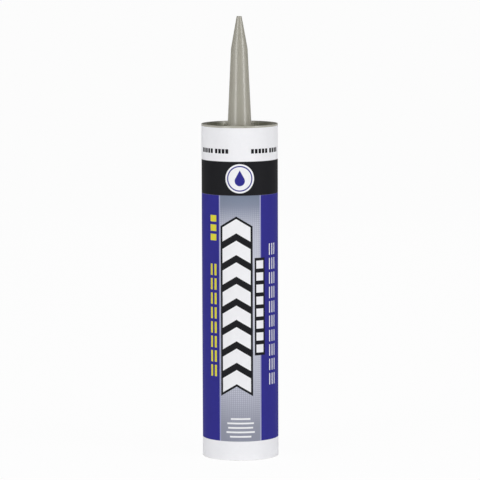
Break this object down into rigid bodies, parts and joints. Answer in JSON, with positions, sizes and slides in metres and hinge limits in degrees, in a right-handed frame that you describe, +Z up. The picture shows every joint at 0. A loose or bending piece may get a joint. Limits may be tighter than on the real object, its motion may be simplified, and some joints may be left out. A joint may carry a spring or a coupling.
{
  "type": "caulk tube",
  "caption": "Upright caulk cartridge: labelled paperboard barrel, cap with a closed tapered nozzle, and a piston that a gun drives up from the open rear end.",
  "frame": {"origin": "centre of the barrel's rear rim, which the part stands on", "axes": "+Z up along the barrel's axis towards the nozzle's tip, and the front of the label faces -Y"},
  "size_m": [0.0494, 0.0494, 0.2864],
  "materials": {
    "paperboard": "matte spiral-wound board with a foil lining inside",
    "label_paper": "satin varnished white paper",
    "cap_plastic": "satin warm grey polyethylene",
    "seal_foil": "thin foil",
    "piston_plastic": "natural polyethylene",
    "sealant_paste": "smooth grey paste",
    "black_ink": "satin print",
    "blue_ink": "satin print",
    "silver_ink": "satin print",
    "yellow_ink": "satin print"
  },
  "bodies": {
    "cartridge": {"tube_body": "paperboard", "label_wrap": "label_paper", "nozzle_cap": "cap_plastic", "inner_seal": "seal_foil", "sealant": "sealant_paste", "print_black": "black_ink", "print_blue": "blue_ink", "print_silver": "silver_ink", "print_yellow": "yellow_ink"},
    "plunger": {"piston": "piston_plastic"}
  },
  "joints": [
    {"name": "piston_slide", "type": "slide", "parent": "cartridge", "child": "plunger", "axis": [0, 0, 1], "range_m": [0, 0.1765], "deforming": ["sealant"]}
  ]
}
